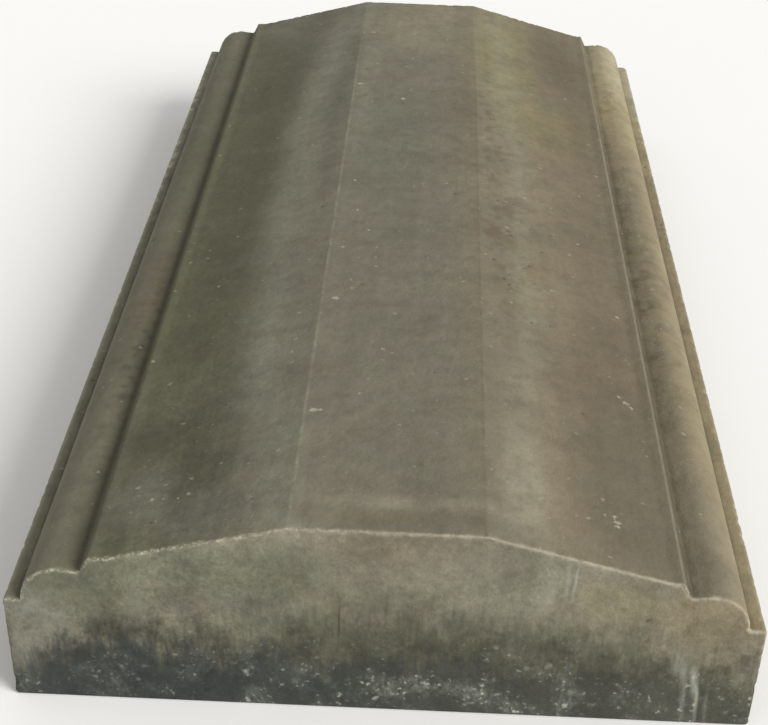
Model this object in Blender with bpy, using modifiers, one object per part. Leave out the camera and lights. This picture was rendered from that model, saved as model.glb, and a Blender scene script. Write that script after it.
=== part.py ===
"""Concrete wall coping: one cast block with a moulded top, laid along the top of a wall.

Metres, +Z up. The block runs along Y and its outline lies in the XZ plane.
The origin is the middle of the underside, which beds on the wall.
"""

import math

import bpy
from mathutils import Vector

# Overall block
LENGTH = 0.600
WIDTH = 0.300

# Heights, from the underside up
SIDE_HEIGHT = 0.051  # plain side, up to the narrow ledge
OVOLO_RADIUS = 0.016  # quarter round that stands on the ledge
GROOVE_FALL = 0.001  # how far the top of the round falls back into its quirk
STEP_HEIGHT = 0.007  # from the quirk up to the lip of the slope
SLOPE_RISE = 0.019  # from the lip up to the flat band

# Widths, from the side towards the middle
LEDGE_WIDTH = 0.007
OVOLO_TOP_WIDTH = 0.0085  # level part of the round, behind its curve
STEP_BATTER = 0.0035  # lean of the step's face, so that it leaves the mould
LIP_WIDTH = 0.005
BAND_WIDTH = 0.075  # flat band along the middle, whole width

# Easing of the corners, as cast and worn
BASE_EASE = 0.0020
SIDE_EASE = 0.0018
FOOT_EASE = 0.0008
QUIRK_EASE = 0.0012
NOSE_EASE = 0.0020
LIP_EASE = 0.0080
BAND_EASE = 0.0060
END_EASE = 0.0010  # small bevel round both end faces

ARC_STEP = math.radians(7.5)  # turn between two points of a curve
OVOLO_STEPS = 12
BEVEL_SEGMENTS = 2
WELD_DISTANCE = 0.00001

CONCRETE_COLOUR = (0.18, 0.16, 0.11, 1.0)
CONCRETE_ROUGHNESS = 0.92


def clear_scene():
    for old in list(bpy.data.objects):
        bpy.data.objects.remove(old)


def make_collection(name):
    collection = bpy.data.collections.new(name)
    bpy.context.scene.collection.children.link(collection)
    return collection


def concrete():
    material = bpy.data.materials.new("concrete")
    material.use_nodes = True
    shader = material.node_tree.nodes["Principled BSDF"]
    shader.inputs["Base Color"].default_value = CONCRETE_COLOUR
    shader.inputs["Roughness"].default_value = CONCRETE_ROUGHNESS
    shader.inputs["Metallic"].default_value = 0.0
    return material


def eased_corner(before, corner, after, radius):
    """Points of an arc that rounds one corner of the outline, tangent to both its sides."""
    back = (before - corner).normalized()
    ahead = (after - corner).normalized()
    opening = back.angle(ahead)
    turn = math.pi - opening
    reach = radius * math.tan(turn / 2)
    centre = corner + (back + ahead).normalized() * (radius / math.sin(opening / 2))
    start = corner + back * reach - centre
    steps = max(1, math.ceil(turn / ARC_STEP))
    side = 1.0 if back.x * ahead.y - back.y * ahead.x < 0 else -1.0
    points = []
    for i in range(steps + 1):
        angle = side * turn * i / steps
        spoke = Vector(
            (
                start.x * math.cos(angle) - start.y * math.sin(angle),
                start.x * math.sin(angle) + start.y * math.cos(angle),
            )
        )
        points.append(centre + spoke)
    return points


def ovolo(centre, radius):
    """The quarter round, from its foot on the ledge to its top."""
    points = []
    for i in range(1, OVOLO_STEPS + 1):
        angle = math.pi / 2 * i / OVOLO_STEPS
        points.append(centre + Vector((math.cos(angle), math.sin(angle))) * radius)
    return points


def half_outline():
    """The right half of the outline, from the underside up to the middle of the band."""
    side_x = WIDTH / 2
    foot_x = side_x - LEDGE_WIDTH
    round_x = foot_x - OVOLO_RADIUS
    quirk_x = round_x - OVOLO_TOP_WIDTH
    nose_x = quirk_x - STEP_BATTER
    slope_x = nose_x - LIP_WIDTH
    band_x = BAND_WIDTH / 2

    round_z = SIDE_HEIGHT + OVOLO_RADIUS
    quirk_z = round_z - GROOVE_FALL
    lip_z = quirk_z + STEP_HEIGHT
    band_z = lip_z + SLOPE_RISE

    base = Vector((side_x, 0))
    side = Vector((side_x, SIDE_HEIGHT))
    foot = Vector((foot_x, SIDE_HEIGHT))
    crown = Vector((round_x, round_z))
    quirk = Vector((quirk_x, quirk_z))
    nose = Vector((nose_x, lip_z))
    lip = Vector((slope_x, lip_z))
    band = Vector((band_x, band_z))
    middle = Vector((0, band_z))

    points = eased_corner(Vector((0, 0)), base, side, BASE_EASE)
    points += eased_corner(base, side, foot, SIDE_EASE)
    points += eased_corner(side, foot, foot + Vector((0, OVOLO_RADIUS)), FOOT_EASE)
    # The round's own lowest points are inside the easing of its foot.
    rising = ovolo(Vector((round_x, SIDE_HEIGHT)), OVOLO_RADIUS)
    points += [p for p in rising if p.y > SIDE_HEIGHT + FOOT_EASE]
    points += eased_corner(crown, quirk, nose, QUIRK_EASE)
    points += eased_corner(quirk, nose, lip, NOSE_EASE)
    points += eased_corner(nose, lip, band, LIP_EASE)
    points += eased_corner(lip, band, middle, BAND_EASE)
    return points


def whole_outline():
    right = half_outline()
    left = [Vector((-p.x, p.y)) for p in reversed(right)]
    return right + left


def extrude_outline(name, points, length):
    """A closed flat outline, drawn out to the block's length, as a mesh."""
    curve = bpy.data.curves.new(name, "CURVE")
    curve.dimensions = "2D"
    curve.fill_mode = "BOTH"
    curve.extrude = length / 2
    spline = curve.splines.new("POLY")
    spline.points.add(len(points) - 1)
    for point, place in zip(spline.points, points):
        point.co = (place.x, place.y, 0, 1)
    spline.use_cyclic_u = True
    drawn = bpy.data.objects.new(name + "_outline", curve)
    bpy.context.scene.collection.objects.link(drawn)
    bpy.context.view_layer.update()
    graph = bpy.context.evaluated_depsgraph_get()
    mesh = bpy.data.meshes.new_from_object(drawn.evaluated_get(graph))
    bpy.data.objects.remove(drawn)
    mesh.name = name
    return mesh


def wall_coping(collection):
    """The whole coping, cast in one piece, outline upright and length along Y."""
    mesh = extrude_outline("wall_coping", whole_outline(), LENGTH)
    coping = bpy.data.objects.new("wall_coping", mesh)
    coping.rotation_euler = (math.pi / 2, 0, 0)
    collection.objects.link(coping)

    weld = coping.modifiers.new("join_caps", "WELD")
    weld.merge_threshold = WELD_DISTANCE

    bevel = coping.modifiers.new("ease_ends", "BEVEL")
    bevel.width = END_EASE
    bevel.segments = BEVEL_SEGMENTS
    bevel.limit_method = "ANGLE"
    bevel.angle_limit = math.radians(60)

    mesh.materials.clear()
    mesh.materials.append(concrete())
    mesh.shade_smooth()
    mesh.set_sharp_from_angle(angle=math.radians(30))
    return coping


clear_scene()
wall_coping(make_collection("concrete_wall_coping"))
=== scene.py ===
import math
from functools import partial

import bmesh
import bpy
import numpy as np
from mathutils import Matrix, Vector, geometry, kdtree


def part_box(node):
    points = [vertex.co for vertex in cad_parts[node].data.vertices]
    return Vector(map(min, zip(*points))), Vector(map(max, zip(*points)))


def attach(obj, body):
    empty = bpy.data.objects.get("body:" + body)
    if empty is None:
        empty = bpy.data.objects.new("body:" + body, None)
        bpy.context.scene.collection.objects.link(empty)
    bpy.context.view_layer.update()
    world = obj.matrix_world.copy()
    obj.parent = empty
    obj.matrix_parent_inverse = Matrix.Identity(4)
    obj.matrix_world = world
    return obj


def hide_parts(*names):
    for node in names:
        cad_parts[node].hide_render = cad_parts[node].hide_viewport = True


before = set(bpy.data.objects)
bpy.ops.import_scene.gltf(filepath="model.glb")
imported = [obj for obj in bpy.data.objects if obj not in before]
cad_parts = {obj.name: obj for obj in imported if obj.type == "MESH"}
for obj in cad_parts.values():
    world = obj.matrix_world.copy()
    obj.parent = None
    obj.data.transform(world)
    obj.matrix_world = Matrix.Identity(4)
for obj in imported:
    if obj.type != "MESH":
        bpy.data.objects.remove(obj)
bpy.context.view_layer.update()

# Weathered concrete wall coping: one cast block, 600 x 300 x 92 mm, lying on its underside.
# The block's length runs along Y and the near end, the one that the photo shows, faces -Y.


def toLinear(hexColour):  # sRGB hex to the linear colour that the shader wants
    channels = [int(hexColour[i:i + 2], 16) / 255 for i in (1, 3, 5)]
    return [c / 12.92 if c <= 0.04045 else ((c + 0.055) / 1.055) ** 2.4 for c in channels] + [1.0]


def addNode(tree, kind, inputs=(), **settings):
    # An input is a value, a socket to link, or a node, which is linked by its first output in use.
    node = tree.nodes.new(kind)
    for name, value in settings.items():
        setattr(node, name, value)
    for name, value in inputs.items() if isinstance(inputs, dict) else enumerate(inputs):
        if isinstance(value, bpy.types.Node):
            value = next(socket for socket in value.outputs if socket.enabled)
        if isinstance(value, bpy.types.NodeSocket):
            tree.links.new(value, node.inputs[name])
        else:
            node.inputs[name].default_value = value
    return node


def perMetre(millimetres):  # noise scale, in features a metre, of a feature of this size
    return 1000 / millimetres


# Outline of the block, as in the solid it replaces. Metres.
moulding = {
    "sideHeight": 0.051,
    "ledgeWidth": 0.007,
    "roundRadius": 0.016,  # quarter round that stands on the ledge
    "roundFlat": 0.0085,  # level part behind its curve
    "stepBatter": 0.0035,
    "bandWidth": 0.075,  # flat band along the middle
}
low, high = (Vector(corner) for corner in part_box("wall_coping"))
halfWidth = high.x
footX = halfWidth - moulding["ledgeWidth"]
crownX = footX - moulding["roundRadius"]
quirkX = crownX - moulding["roundFlat"]
noseX = quirkX - moulding["stepBatter"]
arrisX = moulding["bandWidth"] / 2


# Fine mesh of the cast block

castMesh = {
    "fineStep": 0.0012,  # between points on every side that shows
    "endStep": 0.0007,  # between rows beside the two ends, where the arrises are chipped
    "endReach": 0.008,  # how far in those closer rows go
    "underStep": 0.006,
    "closest": 0.0004,  # outline points nearer than this are one point
    "arrisRadius": 0.0012,  # worn arris round each end face
    "arrisRows": 4,
    "trianglesKept": 185000,
}
limeSplashes = [  # x, y and radius in mm: old splashes of lime on the top
    (-7, 124, 1.6), (-29, 6, 1.1), (-19, -52, 1.0), (-31, -72, 1.0), (-31, -66, 0.8), (-31, -124, 1.5),
    (-7, -168, 0.9), (-34, -219, 1.5), (-31, -219, 1.0), (91, -32, 1.0), (106, -100, 1.1), (104, -103, 0.8),
    (103, -178, 1.3), (100, -174, 1.0), (105, -181, 0.9), (90, -266, 1.0), (91, -269, 1.3), (91, -272, 1.0),
    (74, -272, 1.0), (79, -271, 0.8), (-95, -266, 1.0), (-90, -267, 0.8), (-84, -268, 0.8), (-80, -266, 0.9),
    (-101, -262, 0.7), (-28, -282, 0.7), (40, -255, 0.8), (-15, -205, 0.8), (-34, 146, 1.4), (-30, 238, 1.2),
    (12, -80, 0.7), (-26, -30, 0.7), (96, 30, 0.8), (86, -70, 0.7), (-88, -40, 0.8), (-110, -60, 0.8),
]


def outlineOfSolid(node):  # the solid's own outline, cut at mid length, anticlockwise in X and Z
    cut = bmesh.new()
    cut.from_mesh(node.data)
    bmesh.ops.remove_doubles(cut, verts=cut.verts, dist=1e-6)
    bmesh.ops.bisect_plane(
        cut, geom=[*cut.verts, *cut.edges, *cut.faces], plane_co=(0, (low.y + high.y) / 2, 0),
        plane_no=(0, 1, 0), clear_inner=True, clear_outer=True,
    )
    cut.verts.ensure_lookup_table()
    walked = [cut.verts[0]]
    while True:
        around = [edge.other_vert(walked[-1]) for edge in walked[-1].link_edges]
        ahead = [vert for vert in around if vert not in walked[-2:]]
        if not ahead or ahead[0] is walked[0]:
            break
        walked.append(ahead[0])
    loop = [Vector((vert.co.x, vert.co.z)) for vert in walked]
    cut.free()
    area = sum(a.x * b.y - b.x * a.y for a, b in zip(loop, loop[1:] + loop[:1]))
    return loop if area > 0 else loop[::-1]


def respaced(loop):  # the same outline with points at even small steps
    kept = [loop[0]]
    for point in loop[1:]:
        if min((point - kept[-1]).length, (point - kept[0]).length) > castMesh["closest"]:
            kept.append(point)
    spaced = []
    for here, there in zip(kept, kept[1:] + kept[:1]):
        isUnder = max(here.y, there.y) < low.z + 1e-5
        step = castMesh["underStep"] if isUnder else castMesh["fineStep"]
        count = max(1, round((there - here).length / step))
        spaced += [here.lerp(there, i / count) for i in range(count)]
    return spaced


def rowPlaces():  # (place along Y, how far the outline is drawn in there) for each ring of points
    radius = castMesh["arrisRadius"]
    rounded = []
    for i in range(castMesh["arrisRows"]):
        angle = math.pi / 2 * i / castMesh["arrisRows"]
        rounded.append((low.y + radius * (1 - math.cos(angle)), radius * (1 - math.sin(angle))))
    start, stop = low.y + radius, low.y + castMesh["endReach"]
    close = np.linspace(start, stop, round((stop - start) / castMesh["endStep"]), endpoint=False)
    middle = np.linspace(stop, -stop, round(-2 * stop / castMesh["fineStep"]) + 1)
    nearRows = rounded + [(y, 0.0) for y in close]
    farRows = [(-y, inset) for y, inset in reversed(nearRows)]
    return nearRows + [(y, 0.0) for y in middle] + farRows


def endFill(edge):  # triangles that fill the end face inside its edge, with points at the fine step
    step = castMesh["fineStep"]
    nearEdge = kdtree.KDTree(len(edge))
    for i, point in enumerate(edge):
        nearEdge.insert(point.to_3d(), i)
    nearEdge.balance()
    top = sorted((p for p in edge if p.y > moulding["sideHeight"] - 0.001), key=lambda p: p.x)
    topX, topZ = [p.x for p in top], [p.y for p in top]
    inner = []
    for row, z in enumerate(np.arange(low.z + step * 1.5, high.z, step * 0.87)):
        for x in np.arange(low.x + step * (1 + row % 2 / 2), high.x - step, step):
            clear = nearEdge.find((x, z, 0))[2] > step * 0.6
            if clear and z < np.interp(x, topX, topZ):
                inner.append(Vector((x, z)))
    points = edge + inner
    filled = geometry.delaunay_2d_cdt(points, [], [list(range(len(edge)))], 1, 1e-7)
    sources = [origin[0] for origin in filled[3]]
    depths = [nearEdge.find(point.to_3d())[2] for point in inner]
    return inner, [[sources[i] for i in face] for face in filled[2]], depths


def splashDepth(places):  # 1 in the middle of a splash, 0.5 at its rim, 0 at twice its radius
    depth = np.zeros(len(places))
    for x, y, radius in np.array(limeSplashes) / 1000:
        away = np.hypot(places[:, 0] - x, places[:, 1] - y) / (2 * radius)
        depth = np.maximum(depth, 1 - away)
    return depth * (places[:, 2] > moulding["sideHeight"])


def fineCast(name):
    outline = respaced(outlineOfSolid(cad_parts["wall_coping"]))
    count = len(outline)
    flat = np.array([(p.x, p.y) for p in outline])
    along = np.roll(flat, -1, axis=0) - np.roll(flat, 1, axis=0)
    outward = np.stack([along[:, 1], -along[:, 0]], axis=1)
    outward /= np.linalg.norm(outward, axis=1)[:, None]

    rows = rowPlaces()
    places, distances, onEnd = [], [], []
    for y, inset in rows:
        ring = flat - outward * inset
        places.append(np.stack([ring[:, 0], np.full(count, y), ring[:, 1]], axis=1))
        distances.append(np.full(count, max(inset, high.y - abs(y))))
        onEnd.append(np.full(count, inset / castMesh["arrisRadius"]))
    edge = [Vector(point) for point in flat - outward * rows[0][1]]
    inner, faces, depths = endFill(edge)
    for y in (low.y, high.y):
        places.append(np.array([(p.x, y, p.y) for p in inner]))
        distances.append(np.array(depths) + castMesh["arrisRadius"])
        onEnd.append(np.ones(len(inner)))
    places, distances, onEnd = (np.concatenate(part) for part in (places, distances, onEnd))

    corner = np.arange(count)
    ringStart = np.arange(len(rows) - 1)[:, None] * count
    here, beside = ringStart + corner, ringStart + (corner + 1) % count
    quads = np.stack([here, beside, beside + count, here + count], axis=-1).reshape(-1, 4)
    lastRing, firstInner = (len(rows) - 1) * count, len(rows) * count
    near = [[i if i < count else i - count + firstInner for i in face] for face in faces]
    far = [
        [i + lastRing if i < count else i - count + firstInner + len(inner) for i in reversed(face)]
        for face in faces
    ]
    mesh = bpy.data.meshes.new(name)
    mesh.from_pydata(places.tolist(), [], quads[:, ::-1].tolist() + near + far)
    check = bmesh.new()
    check.from_mesh(mesh)
    bmesh.ops.recalc_face_normals(check, faces=check.faces)
    check.to_mesh(mesh)
    check.free()
    for label, values in (("endDistance", distances), ("onEnd", onEnd), ("splash", splashDepth(places))):
        mesh.attributes.new(label, "FLOAT", "POINT").data.foreach_set("value", values.astype(np.float32))
    cast = bpy.data.objects.new(name, mesh)
    bpy.context.scene.collection.objects.link(cast)
    print("cast block, before its wear:", len(mesh.vertices), "points")
    return cast


coping = fineCast("coping_cast")


# Wear of the surface, by Geometry Nodes: it wanders, its arrises are chipped, it is pitted, and lime has
# splashed on it

castWear = {
    "Sink": 0.00015,  # everything starts this far in, so that what stands proud stays inside the solid
    "Wander Depth": 0.0003,
    "Wander Size": 0.070,
    "Chip Depth": 0.0009,
    "Chip Reach": 0.0026,  # from the arris
    "Chip Size": 0.0036,
    "Pit Count": 7000.0,  # a square metre, where they are thickest
    "Pit Radius": 0.0013,
    "Pit Depth": 0.0006,
    "Pit Seed": 4,
    "Splash Height": 0.00012,
}
pitPatch = {"centre": (0.056, -0.068, 0.086), "reach": (0.024, 0.085, 0.030)}  # beside the right arris


def roundMarks(add, block, share, radius, seed):
    # Scatters round marks over the block: 1 in the middle of a mark, 0.5 at its rim, 0 at twice its radius.
    marks = add("GeometryNodeDistributePointsOnFaces", {"Mesh": block, "Density": share, "Seed": seed})
    least = add("ShaderNodeMath", [radius, 0.35], operation="MULTIPLY")
    size = add("FunctionNodeRandomValue", {2: least.outputs[0], 3: radius, "Seed": seed}, data_type="FLOAT")
    sized = add(
        "GeometryNodeStoreNamedAttribute", {"Geometry": marks, "Name": "markRadius", "Value": size},
        data_type="FLOAT", domain="POINT",
    )
    place = add("GeometryNodeInputPosition")
    closest = add("GeometryNodeSampleNearest", {"Geometry": sized}, domain="POINT")
    markPlace = add(
        "GeometryNodeSampleIndex", {"Geometry": sized, "Value": place, "Index": closest},
        data_type="FLOAT_VECTOR", domain="POINT",
    )
    markRadius = add(
        "GeometryNodeSampleIndex", {
            "Geometry": sized, "Value": add("GeometryNodeInputNamedAttribute", {"Name": "markRadius"}),
            "Index": closest,
        }, data_type="FLOAT", domain="POINT",
    )
    away = add("ShaderNodeVectorMath", [place, markPlace], operation="DISTANCE").outputs["Value"]
    widest = add("ShaderNodeMath", [markRadius, 2.0], operation="MULTIPLY")
    return add("ShaderNodeMapRange", [away, widest, 0.0])


def wearTree():
    tree = bpy.data.node_groups.new("cast_wear", "GeometryNodeTree")
    tree.is_modifier = True
    tree.interface.new_socket("Block", in_out="INPUT", socket_type="NodeSocketGeometry")
    for name, value in castWear.items():
        kind = "NodeSocketInt" if isinstance(value, int) else "NodeSocketFloat"
        tree.interface.new_socket(name, in_out="INPUT", socket_type=kind)
    tree.interface.new_socket("Finish", in_out="INPUT", socket_type="NodeSocketMaterial")
    tree.interface.new_socket("Block", in_out="OUTPUT", socket_type="NodeSocketGeometry")
    add = partial(addNode, tree)
    given = add("NodeGroupInput").outputs
    place = add("GeometryNodeInputPosition")
    parts = add("ShaderNodeSeparateXYZ", [place]).outputs
    across = add("ShaderNodeMath", [parts["X"]], operation="ABSOLUTE")
    folded = add("ShaderNodeCombineXYZ", {"X": across, "Z": parts["Z"]})  # left and right side on each other

    wanderScale = add("ShaderNodeMath", [1.0, given["Wander Size"]], operation="DIVIDE")
    wander = add("ShaderNodeTexNoise", {"Vector": place, "Scale": wanderScale, "Detail": 1.5})
    depth = add("ShaderNodeMath", [wander, given["Wander Depth"], given["Sink"]], operation="MULTIPLY_ADD")

    # Chips lie along the end arrises, the ledges' outer edges and the foot.
    nearest = add("GeometryNodeInputNamedAttribute", {"Name": "endDistance"})
    for edgeHeight in (moulding["sideHeight"], low.z):
        toEdge = add("ShaderNodeVectorMath", [folded, (halfWidth, 0, edgeHeight)], operation="DISTANCE")
        nearest = add("ShaderNodeMath", [nearest, toEdge.outputs["Value"]], operation="MINIMUM")
    beside = add(
        "ShaderNodeMapRange", [nearest, given["Chip Reach"], 0.0004], interpolation_type="SMOOTHSTEP",
    )
    chipScale = add("ShaderNodeMath", [1.0, given["Chip Size"]], operation="DIVIDE")
    broken = add(
        "ShaderNodeTexNoise", {"Vector": place, "Scale": chipScale, "Detail": 3.0, "Roughness": 0.6},
    )
    chipped = add("ShaderNodeMapRange", [broken, 0.50, 0.68], interpolation_type="SMOOTHSTEP")
    chip = add("ShaderNodeMath", [chipped, beside], operation="MULTIPLY")

    # Pits are thick in one patch and few elsewhere.
    fromPatch = add("ShaderNodeVectorMath", [place, pitPatch["centre"]], operation="SUBTRACT")
    fromPatch = add("ShaderNodeVectorMath", [fromPatch, pitPatch["reach"]], operation="DIVIDE")
    patchDistance = add("ShaderNodeVectorMath", [fromPatch], operation="LENGTH").outputs["Value"]
    inPatch = add("ShaderNodeMapRange", [patchDistance, 1.0, 0.3, 0.04, 1.0])
    pitShare = add("ShaderNodeMath", [inPatch, given["Pit Count"]], operation="MULTIPLY")
    pit = roundMarks(add, given["Block"], pitShare, given["Pit Radius"], given["Pit Seed"])
    splash = add("GeometryNodeInputNamedAttribute", {"Name": "splash"})
    splashHeight = add("ShaderNodeMath", [given["Splash Height"], -1.0], operation="MULTIPLY")

    for mask, amount in ((chip, given["Chip Depth"]), (pit, given["Pit Depth"]), (splash, splashHeight)):
        depth = add("ShaderNodeMath", [mask, amount, depth], operation="MULTIPLY_ADD")
    offFloor = add("ShaderNodeMapRange", [parts["Z"], 0.0005, 0.004])  # the underside stays flat
    depth = add("ShaderNodeMath", [depth, offFloor], operation="MULTIPLY")
    inward = add("ShaderNodeMath", [depth, -1.0], operation="MULTIPLY")
    offset = add(
        "ShaderNodeVectorMath", {0: add("GeometryNodeInputNormal"), "Scale": inward}, operation="SCALE",
    )

    block = given["Block"]
    for name, mask in (("chip", chip), ("pit", pit)):
        block = add(
            "GeometryNodeStoreNamedAttribute", {"Geometry": block, "Name": name, "Value": mask},
            data_type="FLOAT", domain="POINT",
        )
    block = add("GeometryNodeSetPosition", {"Geometry": block, "Offset": offset})
    block = add("GeometryNodeRealizeInstances", {"Geometry": block})
    block = add("GeometryNodeSetMaterial", {"Geometry": block, "Material": given["Finish"]})
    add("NodeGroupOutput", [block])
    return tree


def wearCast(cast, finish):
    tree = wearTree()
    wear = cast.modifiers.new("wear", "NODES")
    wear.node_group = tree
    for item in tree.interface.items_tree:
        if item.in_out == "INPUT" and item.name in castWear:
            wear[item.identifier] = castWear[item.name]
        elif item.name == "Finish":
            wear[item.identifier] = finish
    thin = cast.modifiers.new("thin", "DECIMATE")  # few triangles where it is plain, many at its chips
    thin.ratio = castMesh["trianglesKept"] / (2 * len(cast.data.polygons))
    graph = bpy.context.evaluated_depsgraph_get()
    worn = bpy.data.meshes.new_from_object(cast.evaluated_get(graph))
    cast.modifiers.clear()
    cast.data = worn
    worn.name = cast.name
    worn.shade_smooth()
    print("cast block, worn:", len(worn.polygons), "faces")


# Finish of the concrete: cast in a smooth mould and left outdoors for years, so it is dull, clouded with
# algae and dust, dirty in its grooves, rubbed pale on its arrises and damp and salty at its foot. The
# grooves and the foot are laid on darker than their dirt and damp alone, as painted shade.

concrete = {
    "stone": "#706b5a",  # cement paste gone grey-brown
    "board": "#7b7665",  # paler, on the ends
    "film": "#54533c",  # thin film of algae, on the shady side
    "green": "#626351",
    "brown": "#625744",
    "warm": "#7b6f58",
    "tan": "#8e8163",  # bleached, on the sunny side
    "mossy": "#7f784f",
    "lichen": "#a39f74",  # yellow-green bloom at the far right
    "slate": "#4f5149",
    "ash": "#7a796e",
    "dirtAndShade": "#2f2c22",  # what the rain leaves in the grooves, laid on dark enough there to paint their shade too
    "siltAndShade": "#3b3317",  # the same on the sunny side, where it also paints the grooves' shade
    "mould": "#38342a",
    "rust": "#5e4638",
    "pale": "#8c8d78",  # worn by the weather, not yet bare; on the far left ledge it also paints light into the round's shade
    "wetOliveAndShade": "#43442f",  # the foot, still damp from the ground, and laid on darker there as painted shade
    # bluish damp of the foot, laid on darker as painted shade too
    "wetSlateAndShade": "#313430",
    "salt": "#a4a698",  # efflorescence
    "chalk": "#b0a68f",  # cement rubbed bare
    "lime": "#c9c5b3",
}
topStains = [  # middle x and y, reach across and along, in mm; colour; share of it
    (-98, 0, 50, 700, "film", 0.95),
    (78, 0, 66, 700, "warm", 0.80),
    (110, 0, 24, 700, "brown", 0.50),
    (150, 0, 34, 700, "tan", 0.90),
    (-150, 0, 12, 700, "pale", 0.25),
    # Rubbed pale, and painted light over the shade that the left round casts on this far part of the ledge.
    (-150, 240, 12, 190, "pale", 0.80),
    (-12, 70, 30, 120, "green", 0.50),
    (24, 120, 22, 110, "brown", 0.15),
    (4, 265, 48, 90, "warm", 0.60),
    (4, 255, 50, 100, "pale", 0.25),
    (-31, 170, 10, 190, "pale", 0.15),
    (56, 215, 34, 120, "mossy", 0.55),
    (80, 115, 42, 60, "mossy", 0.50),
    (94, 235, 24, 90, "brown", 0.80),
    (103, 150, 14, 120, "brown", 0.40),
    (124, 200, 9, 220, "tan", 0.45),
    (134, 210, 22, 150, "tan", 0.90),
    (136, 250, 32, 170, "lichen", 0.28),
    (134, -150, 12, 90, "tan", 0.40),
    (134, 280, 18, 110, "chalk", 0.50),
    (-47, 180, 14, 170, "slate", 0.30),
    (-90, 280, 26, 50, "ash", 0.45),
    (-131, 110, 14, 120, "film", 0.50),
    (-126, -80, 9, 60, "brown", 0.50),
    (-84, -235, 30, 60, "wetOliveAndShade", 0.35),
    (-72, -278, 26, 26, "ash", 0.45),
    (-98, -262, 20, 26, "ash", 0.30),
    (54, -60, 18, 90, "brown", 0.30),
    (56, -262, 16, 50, "chalk", 0.25),
    (94, -190, 28, 140, "brown", 0.55),
    (96, -240, 26, 80, "slate", 0.25),
    (152, 270, 14, 130, "chalk", 0.65),
    (152, -280, 12, 90, "tan", 0.60),
]
# Lengthwise bands that bend towards the ends: x at mid length, shift of it at the ends, reach across, in mm;
# colour; share of it
bows = [
    (-88, 22, 22, "wetOliveAndShade", 0.25),
    (-64, 26, 18, "pale", 0.30),
    (60, -10, 15, "pale", 0.26),
    (92, -10, 20, "brown", 0.30),
]
# Stripes across the top, beside the near end: x, reach across, y, reach along, in mm; colour; share of it
stripes = [
    (10, 60, -281, 7.5, "chalk", 0.20),
    (10, 56, -292, 6.0, "brown", 0.18),
    (-2, 36, -290, 6.0, "mossy", 0.20),
]
endStains = [  # middle x and z, reach across and up, in mm; colour; share of it
    (-124, 66, 60, 42, "green", 0.90),
    (-138, 42, 26, 28, "ash", 0.45),
    (-56, 70, 60, 24, "green", 0.80),
    (-62, 46, 50, 18, "slate", 0.30),
    (0, 86, 34, 14, "warm", 0.50),
    (30, 62, 46, 16, "pale", 0.20),
    (54, 68, 22, 22, "pale", 0.35),
    (90, 60, 28, 20, "mossy", 0.30),
    (130, 56, 34, 30, "tan", 0.60),
]
# What has run down the near end or stands on it: x, shift of it at the top, lowest and highest z, reach
# sideways, in mm; colour; share of it
runs = [
    (70, 0, 56, 88, 1.6, "salt", 0.30),
    (73, 0.6, 60, 84, 1.1, "salt", 0.60),
    (64, 0, 50, 86, 3.0, "salt", 0.20),
    (118, -1, 20, 42, 5.0, "salt", 0.35),
    (121, -2, -4, 38, 2.0, "salt", 0.35),
    (125, -2, 8, 36, 2.4, "salt", 0.80),
    (127, -1, -6, 28, 1.2, "salt", 0.45),
    (131, -1, -6, 26, 1.4, "salt", 0.25),
    (-17.5, 0, 30, 61, 0.6, "dirtAndShade", 0.75),  # hairline crack
    (-96, 0, 34, 76, 5.0, "ash", 0.30),
    (-143, 0, 8, 40, 9.0, "ash", 0.50),
]
grooveDirtAndShade = [  # lengthwise dirt and painted shade in the grooves' corners: place across, least and most reach, in m; colour; share of it
    (-quirkX - 0.0008, 0.0018, 0.0034, "dirtAndShade", 0.28),
    (-footX - 0.0004, 0.0012, 0.0034, "dirtAndShade", 0.65),
    (quirkX + 0.0006, 0.0008, 0.0050, "siltAndShade", 0.36),
    (footX + 0.0004, 0.0012, 0.0030, "siltAndShade", 0.50),
    (quirkX - 0.0014, 0.0016, 0.0024, "siltAndShade", 0.50),  # on the step's face
]
coarseGrowth, fineGrowth = 10, 6  # mm, sizes of the blotches that mould and moss grow in
growths = [  # middle x and y, reach across and along, in mm; colour; share of it; size of its blotches
    (124, -60, 12, 210, "siltAndShade", 0.38, coarseGrowth),
    (126, -60, 14, 210, "mossy", 0.30, fineGrowth),
    (-150, 170, 6, 260, "lime", 0.75, fineGrowth),
    (-124, -150, 10, 150, "mould", 0.35, fineGrowth),
    (52, -50, 24, 130, "mould", 0.20, coarseGrowth),
    (50, -40, 20, 120, "rust", 0.28, coarseGrowth),
    (46, 80, 16, 140, "brown", 0.40, fineGrowth),
    (60, -80, 20, 80, "mossy", 0.35, coarseGrowth),
    (0, 0, 1000, 1000, "mould", 0.10, fineGrowth),  # thinly, all over the top
]
wornLines = [  # along the arrises and the right step's nose: place across, reach, in m; colour; share of it
    (-arrisX, 0.0012, "pale", 0.60),
    (arrisX, 0.0011, "rust", 0.45),
    (noseX, 0.0009, "ash", 0.70),
    (-halfWidth, 0.0030, "lime", 0.45),
]
ground = {
    "wanderSize": 45,  # mm, of the noise that bends the stains
    "topWander": (0.018, 0.05, 0),  # how far it bends them, in m
    "endWander": (0.03, 0.03, 0.02),
    "bowBend": 2.6,  # power of the share of the way to the end, so that the bows bend late
}
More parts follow.
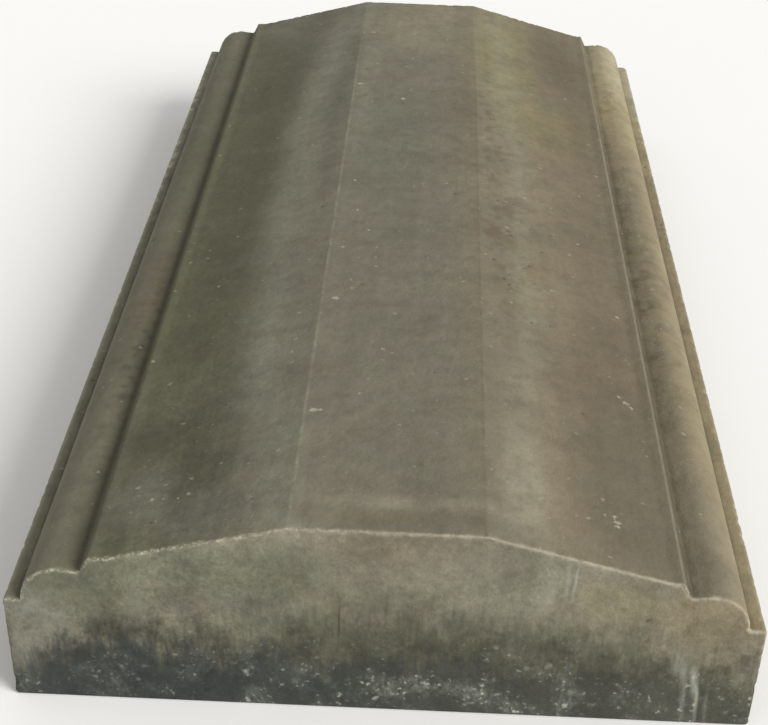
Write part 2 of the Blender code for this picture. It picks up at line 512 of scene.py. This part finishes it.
dampness = {  # of the foot, whose dark paints shade low on the walls as well as damp; heights and reaches in m, sizes in mm
    "oliveHeights": (0.051, 0.021),  # where it starts, from the top down, and where it is full
    "slateHeights": (0.041, 0.017),
    "saltHeights": (0.046, 0.018),
    "middleClimb": 0.015,  # the damp has climbed highest in the middle
    "middleReach": 0.130,
    "sideDrop": 0.012,  # and least beside the two sides
    "sideReach": 0.040,
    "rightClimb": 0.034,  # higher towards the right, for each metre across
    "fringes": [  # size, how far they go up and down, stretch
        (16, 0.007, None),
        (4, 0.004, (1, 1, 0.3)),
        (2, 0.005, (1, 1, 0.2)),
    ],
    "saltSpecks": [(2.2, 0.9, 0.38, 0.50), (4.5, 1.4, 0.34, 0.80), (10, 2.0, 0.38, 0.95)],
}
mottle = {
    "cloudSize": 34,  # mm
    "cloudSwing": 0.13,  # of the tone, up and down
    "tones": [  # size in mm, swing, detail, stretch
        (7, 0.04, 2.0, (1, 0.04, 1)),  # streaks along the way the mould was drawn
        (3, 0.05, 2.0, None),
        (1.2, 0.03, 1.0, None),  # the sand is nearer 0.5 mm, and is drawn this coarse so that it shows
    ],
    "endContrast": 1.1,  # more on the ends, which were cast against rougher boards
}
limeSpecks = [(5, 0.9, 0.14, 0.14), (11, 1.4, 0.16, 0.22)]  # faint ones, all over the top
surface = {
    "dryRoughness": 0.93,
    "dampRoughness": 0.80,
    "dampHeights": (0.035, 0.010),  # m, where the damp starts and where it is full
    "grainSize": 9,  # mm
    "grainHeight": 0.0008,  # m
}


def clouds(add, place, size, lowest, highest, detail=3.0, stretch=None, roughness=0.6):
    # Soft blotches, about this many millimetres wide, that run from one value to the other.
    if stretch:
        place = add("ShaderNodeMapping", {"Vector": place, "Scale": stretch})
    noise = add("ShaderNodeTexNoise", {
        "Vector": place, "Scale": perMetre(size), "Detail": detail, "Roughness": roughness,
    })
    return add("ShaderNodeMapRange", [noise, 0.3, 0.7, lowest, highest])


def spots(add, place, size, least, most, detail=3.0):
    # Ragged spots, 1 inside and 0 between; the higher the two limits, the fewer there are.
    noise = add("ShaderNodeTexNoise", {
        "Vector": place, "Scale": perMetre(size), "Detail": detail, "Roughness": 0.65,
    })
    return add("ShaderNodeMapRange", [noise, least, most], interpolation_type="SMOOTHSTEP")


def specks(add, colour, name, flat, kinds, *masks):
    # Coats ragged specks. A kind is the spacing of its cells and its largest radius, both in mm, the share
    # of the cells that hold one, and the share of colour.
    shift = add("ShaderNodeTexNoise", {"Vector": flat, "Scale": perMetre(2.2), "Detail": 2.0})
    shift = shift.outputs["Color"]
    ragged = add("ShaderNodeVectorMath", [shift, (0.0034,) * 3, flat], operation="MULTIPLY_ADD")
    for spacing, radius, chosen, share in kinds:
        cells = add(
            "ShaderNodeTexVoronoi", {"Vector": ragged, "Scale": perMetre(spacing)}, voronoi_dimensions="2D",
        )
        draws = add("ShaderNodeSeparateColor", [cells.outputs["Color"]]).outputs
        rim = add("ShaderNodeMath", [draws[1], radius / spacing], operation="MULTIPLY")
        inside = add("ShaderNodeMapRange", [cells.outputs["Distance"], rim, 0.0, 0.0, 1.5])
        picked = add("ShaderNodeMath", [draws[0], 1 - chosen], operation="GREATER_THAN")
        colour = coat(add, colour, name, share, inside, picked, *masks)
    return colour


def line(add, value, at, reach, share=1.0):  # this share on a line, and 0 at its reach
    away = add("ShaderNodeMath", [value, at], operation="SUBTRACT")
    away = add("ShaderNodeMath", [away], operation="ABSOLUTE")
    return add("ShaderNodeMapRange", [away, reach, 0.0, 0.0, share], interpolation_type="SMOOTHSTEP")


def coat(add, under, colourName, share, *masks):  # a coat over what lies under it, where all the masks are
    for mask in masks:
        share = add("ShaderNodeMath", [mask, share], operation="MULTIPLY")
    return add("ShaderNodeMix", {0: share, 6: under, 7: toLinear(concrete[colourName])}, data_type="RGBA")


def stained(add, colour, flat, stains):  # flat: the place in the two directions of the stains' own numbers
    for x, y, reachX, reachY, name, share in stains:
        inside = add("ShaderNodeMapping", {
            "Vector": flat, "Location": (x / 1000, y / 1000, 0), "Scale": (reachX / 1000, reachY / 1000, 1),
        }, vector_type="TEXTURE")
        far = add("ShaderNodeVectorMath", [inside], operation="LENGTH").outputs["Value"]
        mask = add("ShaderNodeMapRange", [far, 1.0, 0.2, 0.0, share], interpolation_type="SMOOTHSTEP")
        colour = coat(add, colour, name, 1.0, mask)
    return colour


def groundColour(add, place, parts, onEnd):
    noise = add("ShaderNodeTexNoise", {
        "Vector": place, "Scale": perMetre(ground["wanderSize"]), "Detail": 4.0,
    })
    shift = add("ShaderNodeVectorMath", [noise.outputs["Color"], (0.5, 0.5, 0.5)], operation="SUBTRACT")
    wandering = add("ShaderNodeVectorMath", [shift, ground["topWander"], place], operation="MULTIPLY_ADD")
    onPlan = add("ShaderNodeVectorMath", [wandering, (1, 1, 0)], operation="MULTIPLY")
    top = stained(add, toLinear(concrete["stone"]), onPlan, topStains)

    along = add("ShaderNodeMath", [parts["Y"], 1 / high.y], operation="MULTIPLY")
    along = add("ShaderNodeMath", [along], operation="ABSOLUTE")
    bend = add("ShaderNodeMath", [along, ground["bowBend"]], operation="POWER")
    across = add("ShaderNodeMath", [clouds(add, place, 40, -0.004, 0.004, 4.0), parts["X"]])
    for x, shiftAtEnds, reach, name, share in bows:
        unbent = add("ShaderNodeMath", [bend, -shiftAtEnds / 1000, across], operation="MULTIPLY_ADD")
        top = coat(add, top, name, share, line(add, unbent, x / 1000, reach / 1000))
    for x, reachX, y, reachY, name, share in stripes:
        inside = line(add, parts["X"], x / 1000, reachX / 1000, 1.5)
        top = coat(add, top, name, share, inside, line(add, parts["Y"], y / 1000, reachY / 1000))

    spread = add("ShaderNodeVectorMath", [shift, ground["endWander"], place], operation="MULTIPLY_ADD")
    onFace = add("ShaderNodeSeparateXYZ", [spread]).outputs
    onFace = add("ShaderNodeCombineXYZ", [onFace["X"], onFace["Z"]])
    end = stained(add, toLinear(concrete["board"]), onFace, endStains)
    colour = add("ShaderNodeMix", {0: onEnd, 6: top, 7: end}, data_type="RGBA")
    colour = coat(add, colour, "green", 0.30, spots(add, place, 22, 0.50, 0.66, 5.0))
    drift = add("ShaderNodeVectorMath", [place, (0.3, 0.7, 0.2)])
    return coat(add, colour, "brown", 0.28, spots(add, drift, 17, 0.50, 0.66, 5.0))


def dampAndShadedFoot(add, colour, place, parts, flat):
    # The foot's damp colours are laid on darker than the stain alone, as painted shade low on the walls.
    rise = clouds(add, place, 60, -0.005, 0.005, 2.0)
    for size, amount, stretch in dampness["fringes"]:
        rise = add("ShaderNodeMath", [rise, clouds(add, place, size, -amount, amount, 3.0, stretch)])
    across = add("ShaderNodeMath", [parts["X"]], operation="ABSOLUTE")
    drier = line(add, across, halfWidth, dampness["sideReach"], dampness["sideDrop"])
    height = add("ShaderNodeMath", [parts["Z"], add("ShaderNodeMath", [rise, drier])])
    climbed = line(add, parts["X"], 0.0, dampness["middleReach"], dampness["middleClimb"])
    olive = add("ShaderNodeMath", [height, climbed], operation="SUBTRACT")
    olive = add("ShaderNodeMath", [parts["X"], -dampness["rightClimb"], olive], operation="MULTIPLY_ADD")
    olive = add(
        "ShaderNodeMapRange", [olive, *dampness["oliveHeights"], 0.0, 0.92], interpolation_type="SMOOTHSTEP",
    )
    colour = coat(add, colour, "wetOliveAndShade", 1.0, olive, clouds(add, place, 15, 0.65, 1.0, 4.0))
    slate = add("ShaderNodeMapRange", [height, *dampness["slateHeights"]], interpolation_type="SMOOTHSTEP")
    thinner = add("ShaderNodeMapRange", [parts["X"], -0.06, 0.13, 1.0, 0.52])  # towards the right
    colour = coat(add, colour, "wetSlateAndShade", 1.0, slate, thinner)
    elsewhere = add("ShaderNodeVectorMath", [place, (0.5, 0.1, 0.9)])
    patches = spots(add, elsewhere, 15, 0.50, 0.64, 5.0)
    colour = coat(add, colour, "dirtAndShade", 0.45, patches, line(add, parts["Z"], 0.034, 0.024))

    salty = add("ShaderNodeMapRange", [height, *dampness["saltHeights"]], interpolation_type="SMOOTHSTEP")
    most = add("ShaderNodeMapRange", [parts["X"], -0.10, 0.0, 0.35, 1.0])  # less of it at the left
    salty = add("ShaderNodeMath", [salty, most], operation="MULTIPLY")
    grains = clouds(add, place, 1.6, 0.0, 1.0, 3.0, (1, 1, 0.5))
    colour = coat(add, colour, "salt", 0.50, salty, spots(add, place, 20, 0.46, 0.72, 4.0), grains)
    inClusters = spots(add, place, 20, 0.40, 0.60)
    return specks(add, colour, "salt", flat, dampness["saltSpecks"], salty, inClusters)


def nearRuns(add, colour, place, parts):
    onNear = add("ShaderNodeMath", [parts["Y"], low.y + 0.003], operation="LESS_THAN")
    ragged = clouds(add, place, 3, 0.1, 1.0, 3.0, (1, 1, 0.2))
    for x, shiftAtTop, lowest, highest, width, name, share in runs:
        middle, half = (lowest + highest) / 2000, (highest - lowest) / 2000
        lean = shiftAtTop / 1000 / half
        upright = add("ShaderNodeMath", [parts["X"], middle * lean])
        upright = add("ShaderNodeMath", [parts["Z"], -lean, upright], operation="MULTIPLY_ADD")
        beside = line(add, upright, x / 1000, width / 1000)
        along = line(add, parts["Z"], middle, half, 1.6)
        colour = coat(add, colour, name, share, beside, along, onNear, ragged)
    return colour


def mottled(add, colour, place, parts, onEnd):  # cloudy at every size, down to the sand
    swing = mottle["cloudSwing"]
    tone = clouds(add, place, mottle["cloudSize"], 1 - swing, 1 + swing, 6.0, None, 0.72)
    for size, swing, detail, stretch in mottle["tones"]:
        part = clouds(add, place, size, 1 - swing, 1 + swing, detail, stretch)
        tone = add("ShaderNodeMath", [tone, part], operation="MULTIPLY")
    # The near part of the left slope is more uneven too.
    leftSlope = add("ShaderNodeMath", [
        line(add, parts["X"], -0.085, 0.060), line(add, parts["Y"], -0.260, 0.240, 1.4),
    ], operation="MULTIPLY")
    contrast = add("ShaderNodeMath", [onEnd, mottle["endContrast"], 1.0], operation="MULTIPLY_ADD")
    contrast = add("ShaderNodeMath", [contrast, leftSlope])
    tone = add("ShaderNodeMath", [tone, contrast], operation="POWER")
    grey = add("ShaderNodeCombineColor", [tone, tone, tone])
    return add("ShaderNodeMix", {0: 1.0, 6: colour, 7: grey}, data_type="RGBA", blend_type="MULTIPLY")


def grownOver(add, colour, place, parts, onTop):  # dirt and painted shade in the grooves, mould and moss, and worn arrises
    noises = {
        size: add("ShaderNodeTexNoise", {"Vector": place, "Scale": perMetre(size), "Detail": 4.0})
        for size in (coarseGrowth, fineGrowth)
    }
    thinner = add("ShaderNodeMapRange", [parts["Y"], 0.30, 0.06, 0.60, 1.0])  # towards the far end
    # Each groove line is dirt laid on dark enough to paint the corner's shade as well.
    for at, least, most, name, share in grooveDirtAndShade:
        reach = add("ShaderNodeMapRange", [noises[coarseGrowth], 0.3, 0.7, least, most])
        colour = coat(add, colour, name, share, line(add, parts["X"], at, reach), onTop, thinner)
    for x, y, reachX, reachY, name, share, size in growths:
        ragged = add("ShaderNodeMapRange", [noises[size], 0.46, 0.68], interpolation_type="SMOOTHSTEP")
        across = line(add, parts["X"], x / 1000, reachX / 1000)
        along = line(add, parts["Y"], y / 1000, reachY / 1000, 1.4)
        colour = coat(add, colour, name, share, across, along, onTop, ragged)

    notFar = add("ShaderNodeMapRange", [parts["Y"], 0.240, 0.150], interpolation_type="SMOOTHSTEP")
    broken = clouds(add, place, 9, 0.15, 1.0)
    for at, reach, name, share in wornLines:
        colour = coat(add, colour, name, share, line(add, parts["X"], at, reach), onTop, notFar, broken)
    return colour


def rubbedBare(add, colour, place, parts, endDistance, chip):  # pale along the end arrises and in the chips
    dry = add("ShaderNodeMapRange", [parts["Z"], 0.030, 0.052], interpolation_type="SMOOTHSTEP")
    reach = clouds(add, place, 4, 0.0012, 0.0030)
    rubbed = add("ShaderNodeMapRange", [endDistance, reach, 0.0], interpolation_type="SMOOTHSTEP")
    whole = add("ShaderNodeMapRange", [parts["X"], -0.06, 0.10, 0.25, 0.95])  # a whole line at the right
    colour = coat(add, colour, "chalk", 1.0, rubbed, dry, whole, clouds(add, place, 14, 0.35, 1.0))
    crumbled = add("ShaderNodeMapRange", [parts["X"], 0.02, -0.08, 0.25, 1.0])  # and crumbs at the left
    crumbs = spots(add, place, 1.6, 0.44, 0.66)
    colour = coat(add, colour, "lime", 0.75, rubbed, dry, crumbled, crumbs)
    return coat(add, colour, "chalk", 0.4, chip, dry)


def concreteFinish():
    finish = bpy.data.materials.new("weathered_cast_concrete")
    finish.use_nodes = True
    add = partial(addNode, finish.node_tree)
    link = finish.node_tree.links.new
    shader = finish.node_tree.nodes["Principled BSDF"]
    place = add("ShaderNodeTexCoord").outputs["Object"]
    parts = add("ShaderNodeSeparateXYZ", [place]).outputs
    around = add("ShaderNodeMath", [parts["X"], parts["Y"]])
    onWalls = add("ShaderNodeCombineXYZ", [around, parts["Z"]])  # flat on each of the four upright sides
    onEnd, endDistance, chip, pit, splash = (
        add("ShaderNodeAttribute", attribute_name=name).outputs["Fac"]
        for name in ("onEnd", "endDistance", "chip", "pit", "splash")
    )
    ledgeHeight = moulding["sideHeight"]
    fromLedgeUp = add("ShaderNodeMapRange", [parts["Z"], ledgeHeight - 0.002, ledgeHeight])
    offEnd = add("ShaderNodeMath", [1.0, onEnd], operation="SUBTRACT")
    onTop = add("ShaderNodeMath", [fromLedgeUp, offEnd], operation="MULTIPLY")

    colour = groundColour(add, place, parts, onEnd)
    colour = grownOver(add, colour, place, parts, onTop)
    colour = dampAndShadedFoot(add, colour, place, parts, onWalls)
    colour = mottled(add, colour, place, parts, onEnd)
    colour = nearRuns(add, colour, place, parts)

    # Pits hold dirt, the end arrises are rubbed bare, and lime lies over it all.
    inPit = add("ShaderNodeMath", [pit, clouds(add, place, 2, -0.3, 0.3)])
    inPit = add("ShaderNodeMapRange", [inPit, 0.40, 0.75], interpolation_type="SMOOTHSTEP")
    colour = coat(add, colour, "mould", 0.55, inPit)
    colour = rubbedBare(add, colour, place, parts, endDistance, chip)
    inSplash = add("ShaderNodeMath", [splash, clouds(add, place, 1.4, -0.30, 0.30)])
    inSplash = add("ShaderNodeMapRange", [inSplash, 0.36, 0.70], interpolation_type="SMOOTHSTEP")
    colour = coat(add, colour, "lime", 0.42, inSplash)
    colour = specks(add, colour, "lime", place, limeSpecks, onTop)
    link(colour.outputs[2], shader.inputs["Base Color"])

    roughness = add("ShaderNodeMapRange", [
        parts["Z"], *surface["dampHeights"], surface["dryRoughness"], surface["dampRoughness"],
    ], interpolation_type="SMOOTHSTEP")
    link(roughness.outputs[0], shader.inputs["Roughness"])
    grain = clouds(add, place, surface["grainSize"], 0.0, 1.0, 4.0, None, 0.7)
    bump = add("ShaderNodeBump", {"Height": grain, "Strength": 0.5, "Distance": surface["grainHeight"]})
    link(bump.outputs[0], shader.inputs["Normal"])
    print("finish of the concrete:", len(finish.node_tree.nodes), "nodes")
    return finish


wearCast(coping, concreteFinish())
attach(coping, "root")
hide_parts("wall_coping")


# Studio

studio = {
    "cameraAt": (0.0095, -0.7459, 0.4465),
    "cameraTurn": (56.54, -1.65, 1.87),  # degrees, XYZ
    "lens": 70.9,
    "shift": (-0.0208, 0.0488),  # the photo is a crop, and its optical axis isn't at its middle
    "floorSize": 60.0,
    "floorColour": "#f4f3f0",
    "worldColour": "#ffffff",
    "worldStrength": 0.56,
    "sunFrom": (1.0, -0.55, 0.75),  # the photo's light comes from the right and a little from the front
    "sunSpread": 35.0,  # degrees, as wide as a big soft box
    "sunStrength": 2.9,
}


def setStudio():
    scene = bpy.context.scene
    scene.view_settings.view_transform = "Standard"

    camera = bpy.data.objects.new("camera", bpy.data.cameras.new("camera"))
    camera.data.lens = studio["lens"]
    camera.data.shift_x, camera.data.shift_y = studio["shift"]
    camera.location = studio["cameraAt"]
    camera.rotation_euler = [math.radians(turn) for turn in studio["cameraTurn"]]
    scene.collection.objects.link(camera)
    scene.camera = camera

    sun = bpy.data.objects.new("soft_sun", bpy.data.lights.new("soft_sun", "SUN"))
    sun.data.angle = math.radians(studio["sunSpread"])
    sun.data.energy = studio["sunStrength"]
    sun.rotation_euler = (-Vector(studio["sunFrom"])).to_track_quat("-Z", "Y").to_euler()
    scene.collection.objects.link(sun)

    world = bpy.data.worlds.new("studio")
    world.use_nodes = True
    background = world.node_tree.nodes["Background"]
    background.inputs["Color"].default_value = toLinear(studio["worldColour"])
    background.inputs["Strength"].default_value = studio["worldStrength"]
    scene.world = world

    bpy.ops.mesh.primitive_plane_add(size=studio["floorSize"])
    floor = bpy.context.object
    floor.name = "studio_floor"
    paint = bpy.data.materials.new("matt_white_floor")
    paint.use_nodes = True
    paintShader = paint.node_tree.nodes["Principled BSDF"]
    paintShader.inputs["Base Color"].default_value = toLinear(studio["floorColour"])
    paintShader.inputs["Roughness"].default_value = 0.9
    floor.data.materials.append(paint)
    print("studio set")


setStudio()
